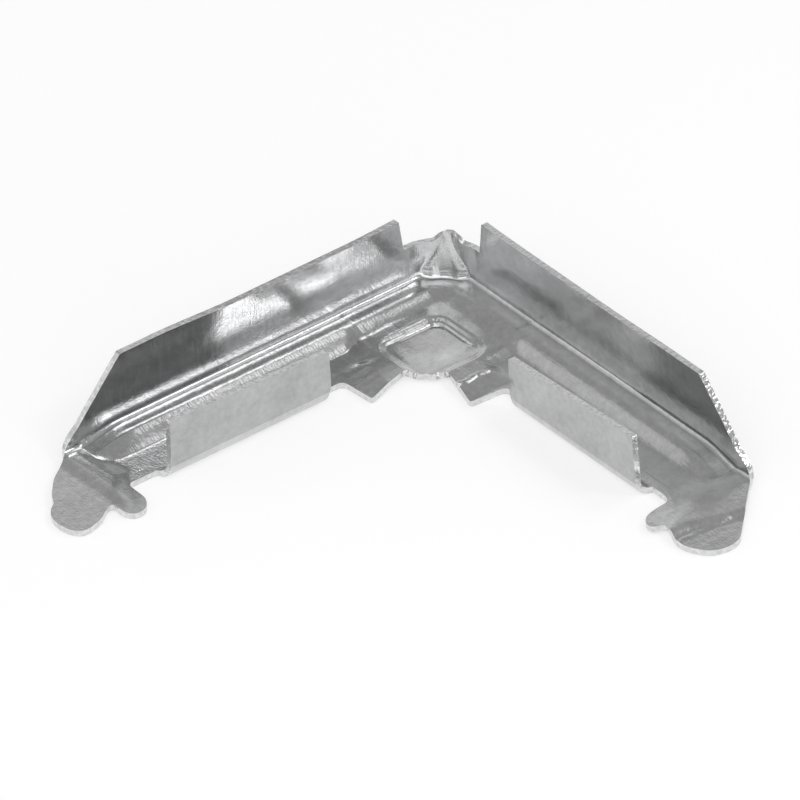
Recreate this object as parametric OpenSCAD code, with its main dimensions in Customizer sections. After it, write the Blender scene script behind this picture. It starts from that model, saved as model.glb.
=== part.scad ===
// Corner for a roll-formed insect screen frame: one blank of thin zinc-plated steel, pressed and
// folded into a channel that turns through a right angle. Each arm slides into the end of a frame
// bar. The tall outer wall and the short inner tab press on the inside of the bar, and the hook and
// the rounded lobe at the tip catch in it.
// One arm lies along X and the other along Y. They are mirror images in the plane X = Y.

/* [Sheet and arms] */
// Thickness of the sheet
sheet = 0.6; // [0.4:0.05:0.8]
// Length of an arm, from the virtual outer corner to the end of its lobe
arm_length = 50.8; // [48:0.1:60]
// Width of the floor where it has neither tab nor ear
floor_width = 7.8; // [7.2:0.1:8.2]
// Inside radius of the folds
bend_radius = 0.7; // [0.4:0.05:0.9]

/* [Outer wall] */
// Height of the wall, from the underside
wall_height = 8.6; // [7.6:0.1:10]
// Distance from the outer corner to the start of the wall's top edge
wall_start = 5.9; // [5.7:0.1:8]
// Distance from the outer corner to the foot of the notch beside the wall
notch_foot = 5.4; // [5.2:0.05:5.6]
// Length of the slanted end of the wall, along the arm
wall_slant = 6.3; // [3:0.1:9]
// Distance from the foot of the slanted end to the tip
tip_length = 7.4; // [6.8:0.1:8]

/* [Rounded corner] */
// Outside radius of the corner, in plan
corner_radius = 5; // [5:0.1:5.2]
// Height of the wall round the corner
corner_height = 5.2; // [4.4:0.1:6]
// Height of the point that the drawing of the corner leaves on its edge
point_height = 0.8; // [0.3:0.1:1.2]
// Width of that point
point_width = 3.2; // [2:0.1:4]
// Width of the flat dart at the foot of the corner
dart_width = 3.8; // [3:0.1:4.4]
// How far the dart stands in from the corner wall, at its foot
dart_depth = 0.7; // [0.4:0.05:0.9]
// Distance from the dart's point to the edge of the corner wall
dart_gap = 0.4; // [0.3:0.1:1]

/* [Shoulder] */
// Height by which the floor is raised along the wall
shoulder_height = 1.05; // [0.8:0.05:1.2]
// Distance from the wall's outer face to the top of the shoulder's flank
shoulder_width = 2.9; // [2.7:0.05:3]
// Steepness of the flank
flank_angle = 50; // [45:1:55]
// Radius at the top of the flank, on the upper face
flank_crest = 0.9; // [0.85:0.05:1.1]
// Radius at the foot of the flank, on the upper face
flank_root = 0.5; // [0.3:0.05:0.6]
// Distance from the tip to where the shoulder starts to come down
ramp_start_gap = 12.4; // [11:0.1:13]
// Distance from the tip to where it has come down to the floor
ramp_end_gap = 6.8; // [6.4:0.1:7]

/* [Inner tab] */
// Distance from the wall's outer face to the tab's outer face
tab_face = 9.2; // [8.6:0.1:9.6]
// Distance from the outer corner to the start of the tab
tab_start = 20.4; // [19.6:0.1:24]
// Height of the tab at its start
tab_height_start = 5.6; // [4:0.1:6.4]
// Height of the tab at its end
tab_height_end = 6.3; // [4:0.1:7.2]
// Radius of the lower corner at the start of the tab
tab_corner = 1.0; // [0.4:0.1:2]
// Gap between the end of the tab and the hook
tab_gap = 3.9; // [3:0.1:6]

/* [Gusset and ears] */
// Height of the gusset pad
pad_height = 0.65; // [0.5:0.05:0.75]
// Distance from the outer corner to the edge of the flat pad
pad_edge = 12.6; // [12.2:0.1:13.4]
// Distance from the outer corner to the crease across the ear
ear_crease = 15; // [14:0.1:16]
// Height of the ear at its crease
crease_height = 0.4; // [0.3:0.05:0.45]
// Distance from the outer corner to the end of the ear
ear_end = 17.8; // [17:0.1:18.6]
// Reach of the ear from the wall's outer face, at the pad
ear_reach_start = 10.6; // [10:0.1:11]
// Reach of the ear from the wall's outer face, at its end
ear_reach_end = 11.6; // [11:0.1:12.4]
// Distance of the gusset's inner edge from both outer faces, on the diagonal
gusset_corner = 12; // [11.6:0.1:12.2]
// Near side of the sunk square, from each outer face
square_start = 5.6; // [5.5:0.1:6]
// Side of the sunk square, whose far corner runs out over the gusset's inner edge
square_side = 7.3; // [6.8:0.1:7.6]
// Corner radius of the sunk square
square_corner = 1.4; // [0.6:0.1:2]

/* [Tip] */
// Reach of the lobe from the wall's outer face
lobe_reach = 11.1; // [10.6:0.1:11.6]
// Radius of the lobe
lobe_radius = 2; // [1.7:0.05:2.2]
// Radius where the slanted tip meets the end
end_radius = 1.6; // [1.2:0.05:1.8]
// Reach of the hook from the wall's outer face
hook_reach = 11.7; // [11:0.1:12.4]
// Half the width of the hook, which is also its end radius
hook_radius = 1.5; // [1.2:0.05:1.6]
// Distance from the tip to the middle of the hook
hook_gap = 6.9; // [6.6:0.1:7.4]
// Depth of the slit between the hook and the lobe
slit_depth = 1.6; // [0.8:0.1:2.4]
// Radius at the bottom of that slit, and of the other inside corners
notch_radius = 0.55; // [0.3:0.05:0.7]
// Height of the low plateau round the root of the hook
plateau_height = 0.35; // [0.2:0.05:0.45]
// Distance from the tip to the near end of that plateau
plateau_start_gap = 8.6; // [8.2:0.1:9]
// Distance from the tip to its far end
plateau_end_gap = 5.6; // [5:0.1:6]
// Length of the slopes at its two ends
plateau_slope = 1.4; // [1:0.1:1.6]

/* [Hidden] */
$fn = 64;

// Cutting tools and hidden ends run this far past the faces they cut.
margin = 1;
diagonal = 45;
arc_steps = 8;
outer_bend = bend_radius + sheet;
// A wall's fold runs this far into the floor.
fold_run = outer_bend + margin / 2;
// The flank runs down in two arcs with a straight slope between them.
flank_radii = flank_crest + flank_root;
flank_fall = shoulder_height - flank_radii * (1 - cos(flank_angle));
flank_width = flank_radii * sin(flank_angle) + flank_fall / tan(flank_angle);
flank_foot = shoulder_width + flank_width;

wall_foot = arm_length - tip_length;
wall_end = wall_foot - wall_slant;
ramp_start = arm_length - ramp_start_gap;
ramp_end = arm_length - ramp_end_gap;
ramp_angle = atan2(shoulder_height, ramp_end - ramp_start);
hook_middle = arm_length - hook_gap;
tab_end = hook_middle - hook_radius - tab_gap;
plateau_start = arm_length - plateau_start_gap;
plateau_end = arm_length - plateau_end_gap;

lobe_middle = [arm_length - lobe_radius, lobe_reach - lobe_radius];
// This circle touches the end of the arm and the slanted side, which leaves the wall's foot at 45
// degrees.
end_x = arm_length - end_radius;
end_middle = [end_x, end_x - wall_foot + end_radius * sqrt(2)];
hook_end = [hook_middle, hook_reach - hook_radius];
slit_x = hook_middle + hook_radius + notch_radius;
slit_bottom = hook_end[1] - slit_depth;

// Points of an arc, from one angle to the other.
function arc(middle, radius, from, to) = [
    for (i = [0 : arc_steps])
        let (angle = from + (to - from) * i / arc_steps)
            middle + radius * [cos(angle), sin(angle)]
];

// Gives a solid drawn in X and Z a depth along Y.
module between_y(low, high) {
    translate([0, high, 0])
        rotate([90, 0, 0])
            linear_extrude(high - low)
                children();
}

// Draws the arm along X, and again mirrored along Y.
module both_arms() {
    children();
    mirror([1, -1, 0])
        children();
}

// A quarter plane with a round corner at its origin.
module round_quarter(width, height, radius) {
    difference() {
        square([width, height]);
        difference() {
            translate([-margin, -margin])
                square(radius + margin);
            translate([radius, radius])
                circle(radius);
            translate([radius, -margin])
                square(radius + margin);
            translate([-margin, radius])
                square(radius + margin);
        }
    }
}

// Section of a fold: a side that rises from the floor, with its outer face at zero.
module fold_section(floor_run, height) {
    bend_middle = [outer_bend, outer_bend];
    polygon(concat(
        [[0, height]],
        arc(bend_middle, outer_bend, 180, 270),
        [[floor_run, 0], [floor_run, sheet]],
        arc(bend_middle, bend_radius, 270, 180),
        [[sheet, height]]
    ));
}

// Section of the space inside the wall and above the floor, from one of the sheet's two faces. gauge
// is 0 for the underside and outside, and the sheet's thickness for the upper and inner face.
module channel_section(gauge) {
    run = fold_run + gauge;
    top = wall_height + gauge;
    polygon(concat(
        [[gauge, top]],
        arc([outer_bend, outer_bend], outer_bend - gauge, 180, 270),
        [[run, gauge], [run, top]]
    ));
}

// Puts things on the ramp that brings the shoulder down to the floor at the tip.
module on_ramp() {
    translate([ramp_start, 0, shoulder_height])
        rotate([0, ramp_angle, 0])
            children();
}

// The space beside one arm's wall. Its floor lies on the shoulder, and then on the ramp.
module channel_space(gauge) {
    translate([corner_radius, 0, shoulder_height])
        rotate([90, 0, 90])
            linear_extrude(arm_length)
                channel_section(gauge);
    on_ramp()
        translate([-margin, 0, 0])
            rotate([90, 0, 90])
                linear_extrude(arm_length)
                    channel_section(gauge);
}

// Pie slice of a circle between two angles.
module sector(middle, radius, from, to) {
    intersection() {
        translate(middle)
            circle(radius);
        polygon(concat([middle], arc(middle, 2 * radius, from, to)));
    }
}

// Section under one face of the shoulder, from the top of its flank. It runs out past the wall on one
// side, and comes down to the floor on the other. The two faces stay parallel.
module shoulder_section(gauge) {
    crest_z = sheet + shoulder_height - flank_crest;
    root_z = sheet + flank_root;
    polygon(concat(
        [[-shoulder_width - margin, -margin], [flank_width, -margin]],
        arc([flank_width, root_z], flank_root + sheet - gauge, -90, -90 - flank_angle),
        arc([0, crest_z], flank_crest - sheet + gauge, 90 - flank_angle, 90),
        [[-shoulder_width - margin, shoulder_height + gauge]]
    ));
}

// The shoulder along one arm, down to the end of its ramp.
module arm_shoulder(gauge) {
    intersection() {
        translate([corner_radius, shoulder_width, 0])
            rotate([90, 0, 90])
                linear_extrude(arm_length)
                    shoulder_section(gauge);
        on_ramp()
            translate([-2 * arm_length, -arm_length, -arm_length])
                cube([3 * arm_length, 2 * arm_length, arm_length + gauge]);
    }
}

// The shoulder where it turns through the rounded corner.
module corner_shoulder(gauge) {
    translate([corner_radius, corner_radius, 0])
        rotate([0, 0, 180])
            rotate_extrude(angle = 90)
                translate([corner_radius - shoulder_width, 0])
                    mirror([1, 0])
                        shoulder_section(gauge);
}

// Low plateau round the root of the hook, with a slope at either end.
module tip_plateau(gauge) {
    between_y(-margin, hook_reach + margin)
        polygon([
            [plateau_start - plateau_slope, gauge - sheet],
            [plateau_start - plateau_slope, gauge],
            [plateau_start, gauge + plateau_height],
            [plateau_end, gauge + plateau_height],
            [plateau_end + plateau_slope, gauge],
            [plateau_end + plateau_slope, gauge - sheet]
        ]);
}

// Raised pad of the gusset, with the ramp that brings one ear down to the level of the floor.
module ear_ramp(gauge) {
    between_y(shoulder_width, ear_reach_end + margin)
        polygon([
            [shoulder_width, gauge - sheet],
            [shoulder_width, gauge + pad_height],
            [pad_edge, gauge + pad_height],
            [ear_crease, gauge + crease_height],
            [ear_end + sheet, gauge],
            [ear_end + sheet, gauge - sheet]
        ]);
}

// Column over the sunk square, which grows by grow on every side.
module square_column(grow) {
    side = square_side + 2 * grow;
    radius = square_corner + grow;
    translate([square_start - grow, square_start - grow, -margin])
        linear_extrude(wall_height)
            intersection() {
                round_quarter(side, side, radius);
                translate([side, side])
                    rotate([0, 0, 180])
                        round_quarter(side, side, radius);
            }
}

// Raised gusset with its two ears and its sunk square, under one of the sheet's two faces.
module gusset(gauge) {
    difference() {
        both_arms()
            ear_ramp(gauge);
        square_column(sheet - gauge);
    }
}

// All that is pressed up out of the floor, under one of the sheet's two faces.
module pressings(gauge) {
    corner_shoulder(gauge);
    gusset(gauge);
    both_arms() {
        arm_shoulder(gauge);
        tip_plateau(gauge);
    }
}

// Plan of the shoulder. The flat floor is left out there.
module shoulder_plan() {
    difference() {
        square(corner_radius);
        translate([corner_radius, corner_radius])
            circle(corner_radius - flank_foot);
    }
    both_arms()
        translate([corner_radius, -margin])
            square([ramp_end - corner_radius, flank_foot + margin]);
}

// Plan of the hook and of the lobe at the tip.
module tip_plan() {
    neck = [slit_x + notch_radius, lobe_middle[1]];
    sector(end_middle, end_radius, -diagonal, 0);
    sector(lobe_middle, lobe_radius, 0, 180 - diagonal);
    sector(hook_end, hook_radius, 0, 180);
    polygon([
        [hook_end[0] - hook_radius, 0],
        [wall_foot, 0],
        end_middle + end_radius * [cos(diagonal), -sin(diagonal)],
        end_middle,
        [arm_length, end_middle[1]],
        [arm_length, lobe_middle[1]],
        lobe_middle,
        lobe_middle + lobe_radius * [-cos(diagonal), sin(diagonal)],
        neck,
        [slit_x + notch_radius, slit_bottom],
        [slit_x - notch_radius, slit_bottom],
        [hook_end[0] + hook_radius, hook_end[1]],
        [hook_end[0] - hook_radius, hook_end[1]]
    ]);
}

// Plan of one ear and of half the gusset.
module ear_plan() {
    polygon([
        [0, 0],
        [ear_end, 0],
        [ear_end, ear_reach_end],
        [pad_edge + sheet, ear_reach_start],
        [gusset_corner, gusset_corner]
    ]);
}

// Fills an inside corner of the plan with an arc. One side of the corner runs from its point along
// +Y, and the other along X in the direction of the sign.
module inside_round(point, sign_x) {
    translate(point)
        mirror([sign_x < 0 ? 1 : 0, 0])
            difference() {
                translate([-sheet, -sheet])
                    square(notch_radius + sheet);
                translate([notch_radius, notch_radius])
                    circle(notch_radius);
            }
}

// Plan of one arm's floor.
module arm_plan() {
    square([hook_middle, floor_width]);
    ear_plan();
    tip_plan();
    inside_round([ear_end, floor_width], 1);
    inside_round([hook_middle - hook_radius, floor_width], -1);
}

// The floor with all that is pressed up out of it.
module floor_sheet() {
    difference() {
        union() {
            linear_extrude(sheet)
                difference() {
                    floor_plan();
                    shoulder_plan();
                }
            intersection() {
                pressings(sheet);
                linear_extrude(wall_height)
                    floor_plan();
            }
        }
        pressings(0);
        both_arms()
            fold_clearance();
    }
}

// Plan of the whole floor, with its rounded outer corner.
module floor_plan() {
    intersection() {
        both_arms()
            arm_plan();
        round_quarter(arm_length + margin, arm_length + margin, corner_radius);
    }
}

// Takes the shoulder's square edge away outside the folds of one arm's wall and of the corner.
module fold_clearance() {
    fold_top = shoulder_height + outer_bend;
    difference() {
        translate([corner_radius, -margin, -margin])
            cube([arm_length, outer_bend + margin, fold_top + margin]);
        channel_space(0);
    }
    translate([corner_radius, corner_radius, 0])
        rotate([0, 0, 180])
            rotate_extrude(angle = 90)
                translate([corner_radius, 0])
                    mirror([1, 0])
                        difference() {
                            translate([-margin, -margin])
                                square([outer_bend + margin, fold_top + margin]);
                            translate([0, shoulder_height])
                                channel_section(0);
                        }
}

// Tall outer wall of one arm, with its fold, its notch at the corner and its slanted end.
module arm_wall() {
    intersection() {
        difference() {
            channel_space(0);
            channel_space(sheet);
        }
        between_y(-margin, fold_run + margin)
            polygon([
                [corner_radius - margin, -margin],
                [corner_radius - margin, corner_height],
                [notch_foot, corner_height],
                [wall_start, wall_height],
                [wall_end, wall_height],
                [wall_foot, outer_bend],
                [wall_foot, -margin]
            ]);
    }
}

// Low wall round the corner, drawn up with the floor, with a point left on its edge.
module corner_wall() {
    difference() {
        translate([corner_radius, corner_radius, 0])
            rotate([0, 0, 180])
                rotate_extrude(angle = 90)
                    translate([corner_radius, shoulder_height])
                        mirror([1, 0])
                            fold_section(fold_run, corner_height + point_height - shoulder_height);
        difference() {
            translate([-margin, -margin, corner_height])
                cube(corner_radius + 2 * margin);
            rotate([0, 0, -diagonal])
                between_y(-corner_radius, 2 * corner_radius)
                    translate([0, corner_height])
                        polygon([
                            [-point_width, -point_height],
                            [0, point_height],
                            [point_width, -point_height]
                        ]);
        }
    }
}

// Flat dart that stiffens the corner, under one of the sheet's two faces. It is widest at the shoulder
// and ends in a point just below the corner's edge.
module dart(gauge) {
    inset = sheet - gauge;
    face = corner_radius - gauge;
    translate([corner_radius, corner_radius, 0])
        rotate([0, 0, 90 + diagonal])
            intersection() {
                between_y(0, corner_radius + margin)
                    polygon([
                        [inset - dart_width / 2, shoulder_height],
                        [0, corner_height - dart_gap - inset],
                        [dart_width / 2 - inset, shoulder_height]
                    ]);
                translate([-dart_width, 0, 0])
                    rotate([90, 0, 90])
                        linear_extrude(2 * dart_width)
                            polygon([
                                [face - dart_depth, shoulder_height],
                                [face, corner_height],
                                [corner_radius + inset, corner_height],
                                [corner_radius + inset, shoulder_height]
                            ]);
            }
}

// The low corner wall with its dart.
module stiffened_corner() {
    difference() {
        union() {
            corner_wall();
            intersection() {
                dart(sheet);
                translate([corner_radius, corner_radius, 0])
                    cylinder(h = corner_height, r = corner_radius - sheet / 2);
            }
        }
        dart(0);
    }
}

// Short inner tab of one arm, folded up from the floor's inner edge.
module arm_tab() {
    intersection() {
        translate([tab_start, tab_face, 0])
            rotate([90, 0, 90])
                linear_extrude(tab_end - tab_start)
                    mirror([1, 0])
                        fold_section(outer_bend + margin, max(tab_height_start, tab_height_end));
        between_y(floor_width - 2 * margin, tab_face + margin)
            translate([tab_start, 0])
                intersection() {
                    round_quarter(tab_end - tab_start, wall_height, tab_corner);
                    polygon([
                        [0, 0],
                        [0, tab_height_start],
                        [tab_end - tab_start, tab_height_end],
                        [tab_end - tab_start, 0]
                    ]);
                }
    }
}

// The whole corner, with its origin under the middle of its box.
module frame_corner() {
    color("silver")
        translate([-arm_length / 2, -arm_length / 2, 0]) {
            floor_sheet();
            stiffened_corner();
            both_arms() {
                arm_wall();
                arm_tab();
            }
        }
}

frame_corner();
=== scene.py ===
import math

import bmesh
import bpy
from mathutils import Matrix, Vector, noise


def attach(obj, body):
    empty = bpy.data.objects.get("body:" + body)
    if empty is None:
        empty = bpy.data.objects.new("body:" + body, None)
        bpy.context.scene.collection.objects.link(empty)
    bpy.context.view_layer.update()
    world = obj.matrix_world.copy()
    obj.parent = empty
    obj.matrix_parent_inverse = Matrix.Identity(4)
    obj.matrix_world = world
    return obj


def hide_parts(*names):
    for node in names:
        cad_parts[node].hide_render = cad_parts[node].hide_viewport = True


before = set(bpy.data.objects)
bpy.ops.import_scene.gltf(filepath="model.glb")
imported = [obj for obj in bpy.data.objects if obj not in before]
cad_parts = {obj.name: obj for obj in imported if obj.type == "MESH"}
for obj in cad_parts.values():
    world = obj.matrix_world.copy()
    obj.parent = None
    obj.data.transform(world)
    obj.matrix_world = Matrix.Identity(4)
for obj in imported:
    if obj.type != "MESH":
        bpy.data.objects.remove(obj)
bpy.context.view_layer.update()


# The blank. The whole corner is cut from one piece of zinc-plated steel sheet, so it starts here as
# one flat outline, with the walls and tabs unfolded. Each arm is drawn along p, away from the outer
# corner, and q runs across it from the wall's outer face. Sizes are in millimetres until the end.
SHEET = 0.6
CORNER_RADIUS = 5.0
CORNER_HEIGHT = 5.2
FOLD_RADIUS = 1.0  # at the middle of the sheet
FOLD_LENGTH = FOLD_RADIUS * math.pi / 2
WALL_FOLD = SHEET / 2 + FOLD_RADIUS  # where the floor starts to turn up into the wall
WALL_HEIGHT = 8.57
WALL_END = 37.1  # where the wall's top edge turns down into its slanted end
SLANT_TOP = 8.6
SLANT = 1.14  # how far the slanted end falls for each millimetre along the arm
TAB_FOLD = 7.9
FLOOR_EDGE = 7.75
SHOULDER = 1.05  # the floor lies this much higher along the wall than beside the tab
RAMP_START, RAMP_END = 37.5, 44.2


def unit(value):
    """Keeps a share between 0 and 1."""
    return min(max(value, 0.0), 1.0)


def smooth(low, high, value):
    """Goes from 0 at low to 1 at high with no corner at either end."""
    t = unit((value - low) / (high - low))
    return t * t * (3 - 2 * t)


def shoulder_level(p):
    """Height of the raised strip along the wall, which comes down to the floor at the tip."""
    return SHOULDER * (1 - smooth(RAMP_START, RAMP_END, p))


def wall_q(p, height):
    """Place on the flat blank of a point of the wall at that height."""
    foot = WALL_FOLD + shoulder_level(p)
    rise = (height - foot) * (WALL_HEIGHT - WALL_FOLD) / (WALL_HEIGHT - foot)
    return WALL_FOLD - FOLD_LENGTH - rise


def tab_q(height):
    """Place on the flat blank of a point of the inner tab at that height."""
    return TAB_FOLD + FOLD_LENGTH + height - SHEET / 2 - FOLD_RADIUS


# Each corner of the outline is (p, q, rounding). The two tips aren't quite alike.
left_tip = [
    (43.05, wall_q(43.05, 1.75), 0.3),
    (44.35, 1.3, 0.4),
    (46.7, 2.85, 0.5),
    (48.45, 4.75, 0.5),
    (48.95, 5.75, 0.1),
    (50.2, 6.65, 0.8),
    (50.78, 8.3, 0.9),
    (50.45, 10.3, 0.8),
    (49.5, 11.1, 0.6),
    (47.4, 10.6, 0.5),
    (45.75, 9.45, 0.35),
    (45.25, 9.6, 0.25),
    (45.2, 11.3, 0.6),
    (44.3, 12.0, 0.5),
    (43.2, 11.75, 0.5),
    (42.35, 10.6, 0.6),
    (42.25, FLOOR_EDGE, 0.45),
]
right_tip = [
    (43.3, wall_q(43.3, 1.6), 0.3),
    (44.8, 1.35, 0.4),
    (50.55, 6.95, 0.7),
    (50.78, 8.6, 0.8),
    (50.2, 10.1, 0.8),
    (48.4, 11.25, 0.8),
    (46.9, 11.35, 0.5),
    (45.1, 10.75, 0.2),
    (44.6, 10.8, 0.2),
    (44.35, 11.55, 0.3),
    (43.6, 11.85, 0.4),
    (42.5, 11.4, 0.6),
    (41.95, 10.1, 0.6),
    (41.8, FLOOR_EDGE + 0.3, 0.5),
    (40.8, FLOOR_EDGE, 0.4),
]


def arm_blank(tip):
    """One arm's half of the blank, cut into a fine grid."""
    corner_top = wall_q(CORNER_RADIUS, CORNER_HEIGHT)
    wall = [
        (CORNER_RADIUS, CORNER_RADIUS, 0),
        (CORNER_RADIUS, corner_top, 0),
        (5.4, corner_top, 0.15),
        (5.9, wall_q(5.9, WALL_HEIGHT), 0.12),
        (WALL_END, wall_q(WALL_END, WALL_HEIGHT), 0.15),
    ]
    slanted_end = [
        (p, wall_q(p, SLANT_TOP - (p - WALL_END) * SLANT), 0) for p in (38.6, 40.1, 41.6)
    ]
    tab_and_ear = [
        (38.9, FLOOR_EDGE, 0.3),
        (38.5, TAB_FOLD + 0.9, 0.35),
        (38.3, tab_q(6.3), 0.15),
        (20.5, tab_q(5.6), 0.15),
        (20.4, TAB_FOLD + 1.9, 0.8),
        (21.4, FLOOR_EDGE + 0.25, 0.6),
        (20.6, FLOOR_EDGE, 0.15),
        (18.05, FLOOR_EDGE, 0.6),
        (17.8, 11.6, 0.35),
        (13.3, 10.55, 0.25),
        (12.35, 11.9, 0.2),
        (12.0, 12.0, 0),
    ]
    outline = wall + slanted_end + tip + tab_and_ear
    mesh = bmesh.new()
    corners = [mesh.verts.new((p, q, 0)) for p, q, _ in outline]
    mesh.faces.new(corners)
    for offset in sorted({rounding for _, _, rounding in outline if rounding}):
        round_here = [v for v, corner in zip(corners, outline) if corner[2] == offset]
        bmesh.ops.bevel(
            mesh,
            geom=round_here,
            affect="VERTICES",
            offset=offset,
            segments=5,
            profile=0.5,
            material=-1,
        )
    along_p, along_q = Vector((1, 0, 0)), Vector((0, 1, 0))
    # From, to and step of the cuts, which are closest where the sheet curves most.
    grid = (
        (along_p, 5.12, 18.5, 0.14),
        (along_p, 19.0, 38.0, 0.5),
        (along_p, 38.4, 50.6, 0.2),
        (along_q, -7.4, -3.7, 0.5),
        (along_q, -3.5, -0.4, 0.2),
        (along_q, -0.271, 1.3, 0.1571),
        (along_q, 1.43, 4.6, 0.14),
        (along_q, 5.12, 13.0, 0.14),
        (along_q, 13.3, 14.6, 0.4),
    )
    for direction, start, stop, step in grid:
        for i in range(int((stop - start) / step) + 1):
            bmesh.ops.bisect_plane(
                mesh,
                geom=mesh.verts[:] + mesh.edges[:] + mesh.faces[:],
                dist=1e-5,
                plane_co=direction * (start + i * step),
                plane_no=direction,
            )
    return mesh


def drawn_corner(mesh):
    """Spins the arm's end section round the corner's centre, as far as the diagonal."""
    section = [
        e for e in mesh.edges
        if all(abs(v.co.x - CORNER_RADIUS) < 1e-4 and v.co.y < CORNER_RADIUS + 1e-4 for v in e.verts)
    ]
    bmesh.ops.spin(
        mesh,
        geom=section,
        cent=(CORNER_RADIUS, CORNER_RADIUS, 0),
        axis=(0, 0, 1),
        angle=-math.pi / 4,
        steps=22,
    )
    bmesh.ops.remove_doubles(mesh, verts=mesh.verts[:], dist=1e-4)


# The press. The floor is pushed up into a shoulder along each wall, a gusset pad with a sunk square
# and two ears, and a low plateau at each tip. The tabs and walls are folded up, and the walls bend in
# a little. The corner between them is drawn, with a flat dart and a crumpled bump on its edge.
LEFT, RIGHT = -1, 1
MM = 0.001
ARM_LENGTH = 50.8
ARM_MIDDLE = 20.0  # the gusset lies on one side of this place, and the tip on the other
FLOOR_MIDDLE = SHEET / 2 + 0.02  # the middle of the sheet, with the underside just clear of the table
TAB_FROM, TAB_TO = 19.8, 39.2  # between these, the floor's inner edge turns up into the tab

PAD = 0.62
PAD_DIP = 0.12  # how much lower the pad lies towards its inner edge
PAD_DIP_START = 9.5
EAR_START, EAR_CREASE, EAR_END = 12.8, 15.3, 17.7
EAR_FALL = {LEFT: 0.1, RIGHT: 0.16}  # from the pad to the crease
CREASE_HALF_WIDTH = 0.22
SUNK_MIDDLE, SUNK_HALF, SUNK_ROUND = 9.35, 3.85, 1.7
DIE_REACH = 12.9  # how far along each arm the die of the corner reaches
DIE_STEP = 0.05  # the mark it leaves across the shoulder

PLATEAU = {LEFT: 0.36, RIGHT: 0.42}
LOBE_START, LOBE_LENGTH = 44.5, 6.3
HOOK_LIFT = 0.12
SCAR_PLACE, SCAR_START = 47.25, 5.6
SCAR_HALF_WIDTH, SCAR_HEIGHT = 0.25, 0.05

FLANK_TOP, FLANK_FOOT = 2.2, 4.5  # distances from the wall's outer face
CROWN, CROWN_EDGE = 0.05, 3.6

DART_FOOT, DART_TOP = 2.5, 5.35
DART_HALF_WIDTH, DART_DEPTH, DART_SHIFT = 2.9, 0.42, 0.1
BUMP_PLACE, BUMP_HALF_WIDTH, BUMP_FOOT = 0.45, 1.7, 3.9
BUMP_OUT, BUMP_UP = 0.16, 0.85
DIAGONAL = Vector((-1, -1)).normalized()

BEND = {LEFT: 0.1, RIGHT: 0.03}  # how steeply the upper part of the wall comes to lean inward
BEND_FOOT, BEND_EASE = 3.4, 1.2


def from_wall(p, q):
    """Distance from the wall's outer face, and the direction out through the wall."""
    if p < CORNER_RADIUS and q < CORNER_RADIUS:
        out = Vector((p - CORNER_RADIUS, q - CORNER_RADIUS))
        if out.length > 1e-6:
            return CORNER_RADIUS - out.length, out.normalized()
    return q, Vector((0, -1))


def gusset_level(p, q, side):
    """Height of the pad, the sunk square and the ear with its crease."""
    inward = max(p, q)
    pad = PAD - PAD_DIP * smooth(PAD_DIP_START, EAR_START, inward)
    # The ear falls gently to an uneven crease with a thin ridge on it, and from there to the floor.
    crease = EAR_CREASE + 0.3 * noise.noise((q * 1.3, side * 3.1, 0.5))
    past = p - crease
    fall = EAR_FALL[side]
    if past < 0:
        ear = pad - fall * unit((p - EAR_START) / (crease - EAR_START))
    else:
        ear = (pad - fall) * (1 - past / (EAR_END - crease))
    ridge = 0.14 if side == RIGHT else 0.1 * (1 - smooth(6.4, 7.2, q))
    ear += ridge * max(1 - abs(past) / CREASE_HALF_WIDTH, 0)
    # Beside the floor the pad ends in a rounded drop instead.
    drop = pad * (1 - smooth(DIE_REACH, 15.4, p + 0.16 * (q - 5.6) ** 2))
    level = ear + (drop - ear) * (1 - smooth(6.2, 7.7, q)) * smooth(DIE_REACH, 14.0, p)
    # The sunk square has a stepped rim and gets shallower towards the gusset's inner edge.
    far = [max(abs(v - SUNK_MIDDLE) - (SUNK_HALF - SUNK_ROUND), 0) for v in (p, q)]
    edge = math.hypot(*far) - SUNK_ROUND
    rim = 0.55 * smooth(-0.6, -0.4, edge) + 0.45 * smooth(-0.2, 0.0, edge)
    depth = 1 - 0.5 * smooth(PAD_DIP_START, 12.4, inward)
    return max(level, 0) * (1 - depth * (1 - rim))


def tip_level(p, q, side):
    """Height of the tip: a low plateau round the hook's root, then a slope down to the lobe."""
    aside = max(q - 6.2, 0)
    slope = unit((p - LOBE_START) / LOBE_LENGTH)
    if side == LEFT:
        rise = smooth(40.6, 43.0, p - 0.75 * aside)
        fall = 0.5 * smooth(43.7, 45.3, p) + 0.5 * slope
        return PLATEAU[side] * rise * (1 - fall)
    rise = smooth(40.2, 43.4, p - 0.5 * aside)
    fall = 0.6 * smooth(45.6, 47.1, p + 0.3 * min(q - 9.3, 0)) + 0.4 * slope
    hook_root = 6.7 + 0.22 * max(p - 40.2, 0) ** 2
    hook = HOOK_LIFT * smooth(-0.1, 0.35, q - hook_root) * (1 - rise)
    level = (PLATEAU[side] * rise + hook) * (1 - fall)
    # A thin scar runs across the right lobe.
    if q > SCAR_START:
        scar = SCAR_PLACE + 0.25 * noise.noise((q * 1.7, 0.3, 0.2))
        level += SCAR_HEIGHT * max(1 - abs(p - scar) / SCAR_HALF_WIDTH, 0)
    return level


def floor_level(p, q, side):
    """Height of the pressed floor above the strip beside the tab."""
    distance, _ = from_wall(p, q)
    inner = gusset_level(p, q, side) if p < ARM_MIDDLE else tip_level(p, q, side)
    beside_wall = 1 - smooth(FLANK_TOP, FLANK_FOOT, distance)
    high = shoulder_level(p)
    crown = CROWN * math.sin(math.pi * smooth(WALL_FOLD, CROWN_EDGE, distance)) * high
    crown += DIE_STEP * smooth(0, 0.15, DIE_REACH - p)
    return inner + (max(high, inner) + crown - inner) * beside_wall


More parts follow.
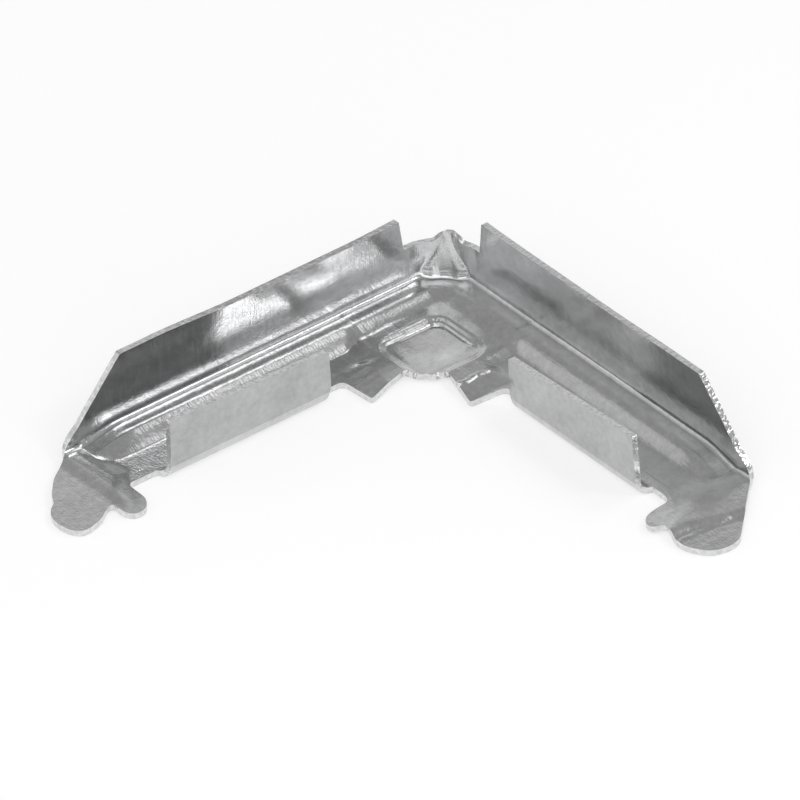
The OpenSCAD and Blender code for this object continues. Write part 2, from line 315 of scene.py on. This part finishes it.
def drawn(place, out, height, along, turn):
    """Pushes the corner's wall in to the dart and up to the bump. along is the way round the corner."""
    taper = 1 - max((height - DART_FOOT) / (DART_TOP - DART_FOOT), 0)
    if taper > 0:
        across = 1 - smooth(0.45, 0.95, abs(along - DART_SHIFT) / (DART_HALF_WIDTH * taper))
        place = place - out * DART_DEPTH * taper * math.sin(turn) * across
    near = max(1 - ((along - BUMP_PLACE) / BUMP_HALF_WIDTH) ** 2, 0)
    lift = near * near * smooth(BUMP_FOOT, CORNER_HEIGHT, height)
    crumple = noise.noise((along * 2.3, height * 1.9, 4.0))
    place = place + out * lift * (BUMP_OUT + 0.1 * crumple)
    return place, height + lift * (BUMP_UP + 0.12 * crumple)


def pressed(p, q, side):
    """Where a point of the flat blank lies after pressing, at the middle of the sheet."""
    distance, out = from_wall(p, q)
    past = WALL_FOLD - distance
    if past <= 0:
        if q <= TAB_FOLD or not TAB_FROM < p < TAB_TO:
            return Vector((p, q, FLOOR_MIDDLE + floor_level(p, q, side)))
        turn = min((q - TAB_FOLD) / FOLD_RADIUS, math.pi / 2)
        up = max(q - TAB_FOLD - FOLD_LENGTH, 0)
        tab_height = FLOOR_MIDDLE + FOLD_RADIUS * (1 - math.cos(turn)) + up
        return Vector((p, TAB_FOLD + FOLD_RADIUS * math.sin(turn), tab_height))
    start = Vector((p, q)) - out * past
    turn = min(past / FOLD_RADIUS, math.pi / 2)
    foot = FLOOR_MIDDLE + FOLD_RADIUS + floor_level(start.x, start.y, side)
    up = max(past - FOLD_LENGTH, 0) * (WALL_HEIGHT - foot) / (WALL_HEIGHT - WALL_FOLD)
    height = foot - FOLD_RADIUS * math.cos(turn) + up
    place = start + out * FOLD_RADIUS * math.sin(turn)
    if p < CORNER_RADIUS and q < CORNER_RADIUS:
        along = side * CORNER_RADIUS * math.acos(min(out.dot(DIAGONAL), 1))
        place, height = drawn(place, out, height, along, turn)
    else:
        # The wall bends inward most between the corner's notch and the middle of the arm.
        high = max(height - BEND_FOOT, 0)
        bend = BEND[side] * smooth(2.0, 11.5, p) * (1 - smooth(24, 33, p))
        place = place - out * bend * high * high / (high + BEND_EASE)
    return Vector((place.x, place.y, height))


sheet = bmesh.new()
for tip, side in ((left_tip, LEFT), (right_tip, RIGHT)):
    arm = arm_blank(tip)
    drawn_corner(arm)
    for v in arm.verts:
        place = pressed(v.co.x, v.co.y, side)
        v.co = place.yxz if side == RIGHT else place
    if side == RIGHT:
        bmesh.ops.reverse_faces(arm, faces=arm.faces[:])
    half = bpy.data.meshes.new("half")
    arm.to_mesh(half)
    arm.free()
    sheet.from_mesh(half)
    bpy.data.meshes.remove(half)
bmesh.ops.remove_doubles(sheet, verts=sheet.verts[:], dist=0.01)
bmesh.ops.translate(sheet, verts=sheet.verts[:], vec=(-ARM_LENGTH / 2, -ARM_LENGTH / 2, 0))
bmesh.ops.scale(sheet, verts=sheet.verts[:], vec=(MM, MM, MM))
for face in sheet.faces:
    face.smooth = True
corner_mesh = bpy.data.meshes.new("pressed_corner")
sheet.to_mesh(corner_mesh)
sheet.free()
corner = bpy.data.objects.new("pressed_corner", corner_mesh)
bpy.context.scene.collection.objects.link(corner)
gauge = corner.modifiers.new("gauge", "SOLIDIFY")
gauge.thickness = SHEET * MM
gauge.offset = 0
gauge.use_even_offset = True
gauge.material_offset_rim = 1
burr = corner.modifiers.new("burr", "BEVEL")
burr.limit_method = "ANGLE"
burr.angle_limit = math.radians(72)
burr.width = 0.06 * MM
burr.segments = 2
burr.harden_normals = True


# The finish. Bright zinc plate over rolled sheet: a cloudy silver grey with blurred reflections and
# fine scratches from handling, with painted shade that darkens the colour of the tabs. The edges are
# bare and bright where the die sheared the blank.
# Where the painted shade on the tabs begins: inside the one place and above the other.
TAB_PLACE, TAB_FOOT = -17.1 * MM, 1.4 * MM  # the tabs stand inside the one and above the other


class Shade:
    """A socket in a node tree. Maths on it adds the Math nodes."""

    def __init__(self, tree, socket):
        self.tree = tree
        self.socket = socket

    def node(self, kind, settings=None, values=None, output=0):
        """Adds any other node. Settings are its own properties, and values go to its inputs."""
        made = self.tree.nodes.new(kind)
        for name, value in (settings or {}).items():
            setattr(made, name, value)
        for name, value in (values or {}).items():
            if isinstance(value, Shade):
                value.into(made, name)
            else:
                made.inputs[name].default_value = value
        return Shade(self.tree, made.outputs[output])

    def into(self, node, name):
        """Links the socket to an input of a node."""
        self.tree.links.new(self.socket, node.inputs[name])

    def maths(self, operation, *values):
        return self.node("ShaderNodeMath", {"operation": operation}, dict(enumerate(values)))

    def __add__(self, other):
        return self.maths("ADD", self, other)

    def __radd__(self, other):
        return self.maths("ADD", other, self)

    def __mul__(self, other):
        return self.maths("MULTIPLY", self, other)

    def __rmul__(self, other):
        return self.maths("MULTIPLY", other, self)

    def __gt__(self, other):
        return self.maths("GREATER_THAN", self, other)

    def __lt__(self, other):
        return self.maths("LESS_THAN", self, other)


def metal(name):
    """A new metal material, its shader and its Object coordinates."""
    made = bpy.data.materials.new(name)
    made.use_nodes = True
    shader = made.node_tree.nodes["Principled BSDF"]
    shader.inputs["Metallic"].default_value = 1.0
    places = Shade(made.node_tree, None).node("ShaderNodeTexCoord", output="Object")
    return made, shader, places


def speckle(places, scale, detail):
    """Noise over the surface."""
    values = {"Vector": places, "Scale": scale, "Detail": detail}
    return places.node("ShaderNodeTexNoise", values=values)


def mixed(factor, first, second, blend="MIX"):
    """Mixes two colours."""
    return factor.node(
        "ShaderNodeMix",
        {"data_type": "RGBA", "blend_type": blend},
        {"Factor": factor, "A": first, "B": second},
        output="Result",
    )


def finished(shader, tone, rough, relief, strength, depth):
    """Gives a metal its colour, the blur of its reflections and its fine relief."""
    values = {"Strength": strength, "Distance": depth, "Height": relief}
    tone.into(shader, "Base Color")
    rough.into(shader, "Roughness")
    relief.node("ShaderNodeBump", values=values).into(shader, "Normal")


plate, shader, places = metal("zinc_plate")
cloud = speckle(places, 330.0, 5.0)
mottle = speckle(places, 1500.0, 4.0)
grain = speckle(places, 5200.0, 2.0)
slanted = places.node(
    "ShaderNodeMapping",
    values={"Vector": places, "Rotation": (0.5, 0.3, 0.9), "Scale": (6500.0, 350.0, 350.0)},
)
scratch = speckle(slanted, 1.0, 2.0)
x, y, z = (
    places.node("ShaderNodeSeparateXYZ", values={"Vector": places}, output=axis) for axis in "XYZ"
)
# Painted shade: on the tabs the plate's colour is multiplied by 0.78, standing in for the dimmer
# reflection they show.
painted_tab_shade = (x > TAB_PLACE) * (y > TAB_PLACE) * (z > TAB_FOOT)
tone = mixed(
    cloud * 0.4 + mottle * 0.4 + grain * 0.2, (0.34, 0.342, 0.345, 1), (0.86, 0.862, 0.865, 1)
)
tone = mixed(painted_tab_shade, tone, (0.78, 0.78, 0.78, 1), "MULTIPLY")
rough = 0.07 + cloud * 0.08 + scratch * 0.12
relief = scratch * 0.5 + grain * 0.5 + mottle * 0.8
finished(shader, tone, rough, relief, strength=0.4, depth=0.05 * MM)

edge, shader, places = metal("sheared_edge")
torn = speckle(places, 2600.0, 3.0)
tone = mixed(torn, (0.45, 0.45, 0.455, 1), (0.95, 0.95, 0.955, 1))
finished(shader, tone, 0.08 + torn * 0.16, torn, strength=0.6, depth=0.1 * MM)
corner_mesh.materials.append(plate)
corner_mesh.materials.append(edge)

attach(corner, "root")
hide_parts("frame_corner")


# The table the corner lies on: a plain white sheet of matt card, larger than the camera's view. It
# glows a little where it is seen directly or in the metal, so that it stays white between the lamps.
CARD_GREY = 0.55
CARD_GLOW = 0.57
floor_mesh = bpy.data.meshes.new("floor")
table = bmesh.new()
bmesh.ops.create_grid(table, x_segments=1, y_segments=1, size=1.5)
table.to_mesh(floor_mesh)
table.free()
floor = bpy.data.objects.new("floor", floor_mesh)
bpy.context.scene.collection.objects.link(floor)
card_white = bpy.data.materials.new("card_white")
card_white.use_nodes = True
card = card_white.node_tree.nodes["Principled BSDF"]
card.inputs["Base Color"].default_value = (CARD_GREY, CARD_GREY, CARD_GREY, 1)
card.inputs["Roughness"].default_value = 0.9
card.inputs["Specular IOR Level"].default_value = 0.0
card.inputs["Emission Strength"].default_value = 1.0
ray = card_white.node_tree.nodes.new("ShaderNodeLightPath")
camera_ray, glossy_ray, clear_ray = (
    Shade(card_white.node_tree, ray.outputs[f"Is {kind} Ray"])
    for kind in ("Camera", "Glossy", "Transmission")
)
glow = (camera_ray + glossy_ray + clear_ray) * CARD_GLOW
glow.into(card, "Emission Color")
floor_mesh.materials.append(card_white)


# The light: a wide soft box beside the camera and smaller ones round the table, in a dim grey room.
# The small key stands high on the right, and shows in the left wall by way of the gusset's floor.
LAMP_DISTANCE = 0.6
ROOM_GREY = 0.4


def soft_box(name, azimuth, elevation, width, height, power):
    """A lamp that faces the corner from that direction."""
    lamp = bpy.data.lights.new(name, "AREA")
    lamp.shape = "RECTANGLE"
    lamp.size = width
    lamp.size_y = height
    lamp.energy = power
    box = bpy.data.objects.new(name, lamp)
    a, e = math.radians(azimuth), math.radians(elevation)
    away = Vector((math.cos(e) * math.cos(a), math.cos(e) * math.sin(a), math.sin(e)))
    box.location = away * LAMP_DISTANCE
    box.rotation_mode = "QUATERNION"
    box.rotation_quaternion = away.to_track_quat("Z", "Y")
    bpy.context.scene.collection.objects.link(box)


soft_box("front_box", 48, 36, 0.6, 0.34, power=0.74)
soft_box("low_box", 75, 12, 0.5, 0.2, power=0.5)
soft_box("right_box", 140, 14, 0.4, 0.18, power=0.18)
soft_box("high_box", 50, 62, 0.3, 0.2, power=0.17)
soft_box("far_right_box", 180, 48, 0.26, 0.26, power=0.28)
soft_box("left_box", 335, 18, 0.7, 0.3, power=0.16)
soft_box("top_box", 350, 55, 0.35, 0.35, power=0.18)
soft_box("back_box", 240, 27, 0.6, 0.22, power=0.15)
soft_box("left_low_box", 300, 14, 0.4, 0.18, power=0.11)
soft_box("left_high_box", 306, 36, 0.35, 0.25, power=0.08)
soft_box("key", 129, 48, 0.12, 0.12, power=0.29)
room = bpy.data.worlds.new("room")
room.use_nodes = True
background = room.node_tree.nodes["Background"]
background.inputs["Color"].default_value = (ROOM_GREY, ROOM_GREY, ROOM_GREY, 1)
background.inputs["Strength"].default_value = 1.0
bpy.context.scene.world = room
bpy.context.scene.view_settings.view_transform = "Standard"


# The camera: a parallel view from above and in front of the open side, rolled by about 3 degrees.
# Its three directions and the middle of its view were fitted to the two arms in the photograph.
VIEW_WIDTH = 0.07073
VIEW_MIDDLE = Vector((-0.003376, -0.003912, 0.007508))
VIEW_DISTANCE = 0.6
right = (-0.7864, 0.6159, -0.0412)
up = (-0.3759, -0.4248, 0.8233)
back = (0.4896, 0.6629, 0.5656)
lens = bpy.data.cameras.new("camera")
lens.type = "ORTHO"
lens.ortho_scale = VIEW_WIDTH
lens.clip_end = 10
camera = bpy.data.objects.new("camera", lens)
camera.rotation_mode = "QUATERNION"
camera.rotation_quaternion = Matrix((right, up, back)).transposed().to_quaternion()
camera.location = VIEW_MIDDLE + Vector(back) * VIEW_DISTANCE
bpy.context.scene.collection.objects.link(camera)
bpy.context.scene.camera = camera

bpy.context.view_layer.update()
